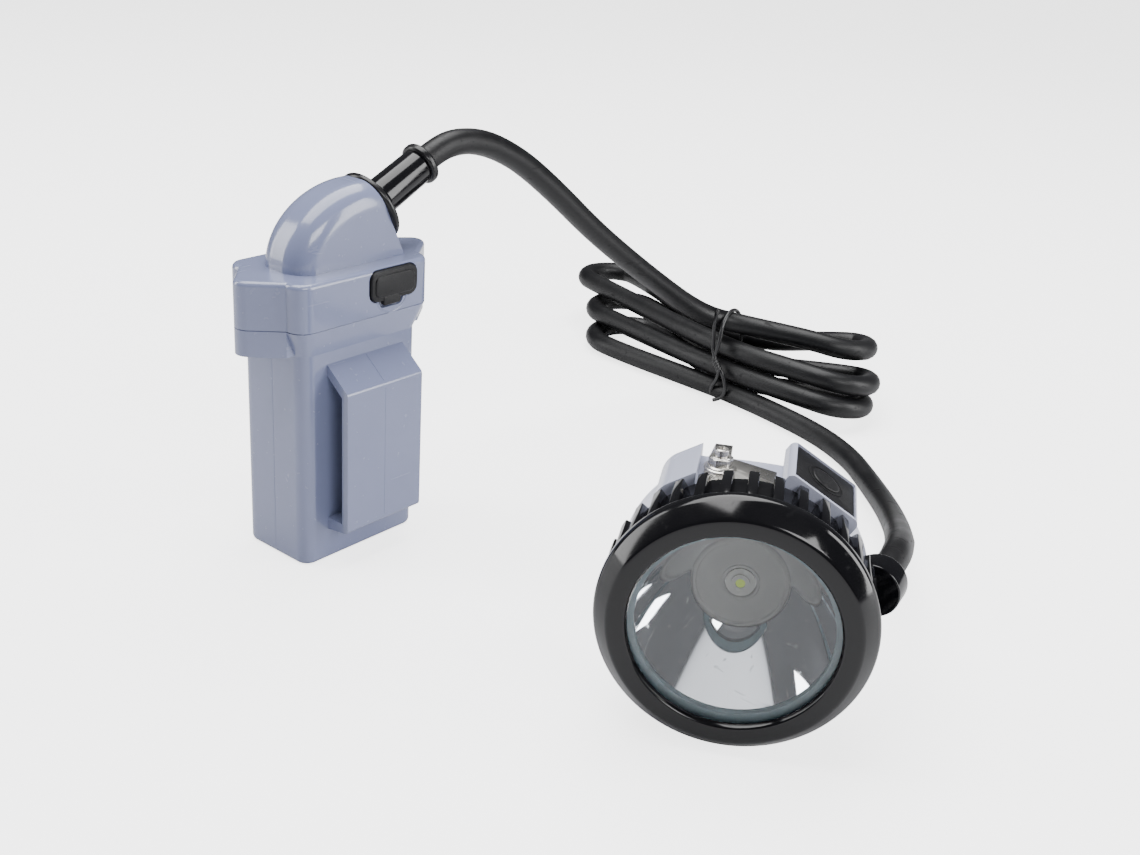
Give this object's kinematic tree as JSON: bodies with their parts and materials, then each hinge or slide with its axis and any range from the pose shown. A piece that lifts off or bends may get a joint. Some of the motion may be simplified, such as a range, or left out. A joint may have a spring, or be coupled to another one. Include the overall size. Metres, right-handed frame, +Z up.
{
  "type": "miner's cap lamp",
  "caption": "Corded miner's cap lamp: belt battery case with cable gland, tied rubber cord, and a round lamp head with ribbed bezel, side switch and cap hook.",
  "frame": {"origin": "centre of the battery case's flat foot, on the surface that the lamp stands on", "axes": "+X along the battery case's broad face, towards the cord; -Y out of the belt-loop face; +Z up"},
  "size_m": [0.3131, 0.2939, 0.1331],
  "materials": {
    "case_plastic": "glossy moulded ABS, blue-grey",
    "shell_plastic": "glossy moulded plastic, pale lilac-grey",
    "black_gloss": "glossy black plastic",
    "black_satin": "satin black nylon",
    "black_rubber": "moulded black rubber",
    "cord_rubber": "satin black rubber sheath",
    "seal_rubber": "grey-blue silicone",
    "steel": "bright zinc-plated steel",
    "nickel": "nickel strip",
    "chrome": "vacuum-metallised mirror",
    "aluminium": "turned aluminium",
    "disc_grey": "matt grey plastic",
    "lens_glass": "clear toughened glass",
    "ceramic": "white ceramic",
    "phosphor": "yellow-green phosphor",
    "board_green": "green solder mask",
    "chip_black": "black epoxy",
    "cell_wrap": "blue shrink sleeve",
    "holder_plastic": "black ABS frame",
    "foam": "closed-cell foam",
    "tie_wire": "plastic-covered wire"
  },
  "bodies": {
    "lamp": {"battery_case": "case_plastic", "case_cover": "case_plastic", "cover_gasket": "seal_rubber", "case_screws": "steel", "charge_socket": "chip_black", "port_board": "board_green", "cell_left": "cell_wrap", "cell_right": "cell_wrap", "cell_link": "nickel", "terminal_strips": "nickel", "cell_holder_lower": "holder_plastic", "cell_holder_upper": "holder_plastic", "protection_board": "board_green", "board_chips": "chip_black", "board_screws": "steel", "foam_block": "foam", "gland_flange": "black_satin", "gland_sleeve": "black_gloss", "gland_ring": "black_satin", "gland_nut": "black_satin", "cord_end_battery": "cord_rubber", "reflector": "chrome", "reflector_seal": "seal_rubber", "led_disc": "disc_grey", "led_board": "aluminium", "led_package": "ceramic", "led_emitter": "phosphor", "heat_spreader": "aluminium", "led_screws": "steel", "lamp_shell": "shell_plastic", "switch_pad": "black_rubber", "tact_switch": "chip_black", "switch_board": "board_green", "driver_board": "board_green", "driver_parts": "chip_black", "driver_posts": "aluminium", "hook_plate": "steel", "hook_washer": "steel", "hook_nut": "steel", "hook_bolt": "steel", "cord_grommet": "black_rubber", "cord_end_head": "cord_rubber", "cord_lead": "cord_rubber", "cord_hank": "cord_rubber", "cord_tail": "cord_rubber", "hank_tie": "tie_wire"},
    "lens_stack": {"lens": "lens_glass", "lens_gasket": "seal_rubber"},
    "bezel_ring": {"bezel": "black_gloss"},
    "button": {"switch_button": "black_rubber"},
    "plug": {"port_plug": "black_rubber"}
  },
  "joints": [
    {"name": "lens_slide", "type": "slide", "parent": "lamp", "child": "lens_stack", "axis": [-0.8746, -0.4848, 0], "range_m": [0, 0.0065]},
    {"name": "bezel_turn", "type": "hinge", "parent": "lens_stack", "child": "bezel_ring", "pos_m": [-0.00285, -0.16485, 0.0381], "axis": [-0.8746, -0.4848, 0], "range_deg": [0, 720]},
    {"name": "switch_press", "type": "slide", "parent": "lamp", "child": "button", "axis": [-0.2511, 0.4531, -0.8554], "range_m": [0, 0.001], "stiffness_N_per_m": 800, "springref_m": -0.0005},
    {"name": "plug_pull", "type": "slide", "parent": "lamp", "child": "plug", "axis": [0, -1, 0], "range_m": [0, 0.012]}
  ],
  "couplings": [
    {"joint": "lens_slide", "follows": "bezel_turn", "m_per_rad": 0.00047746}
  ]
}
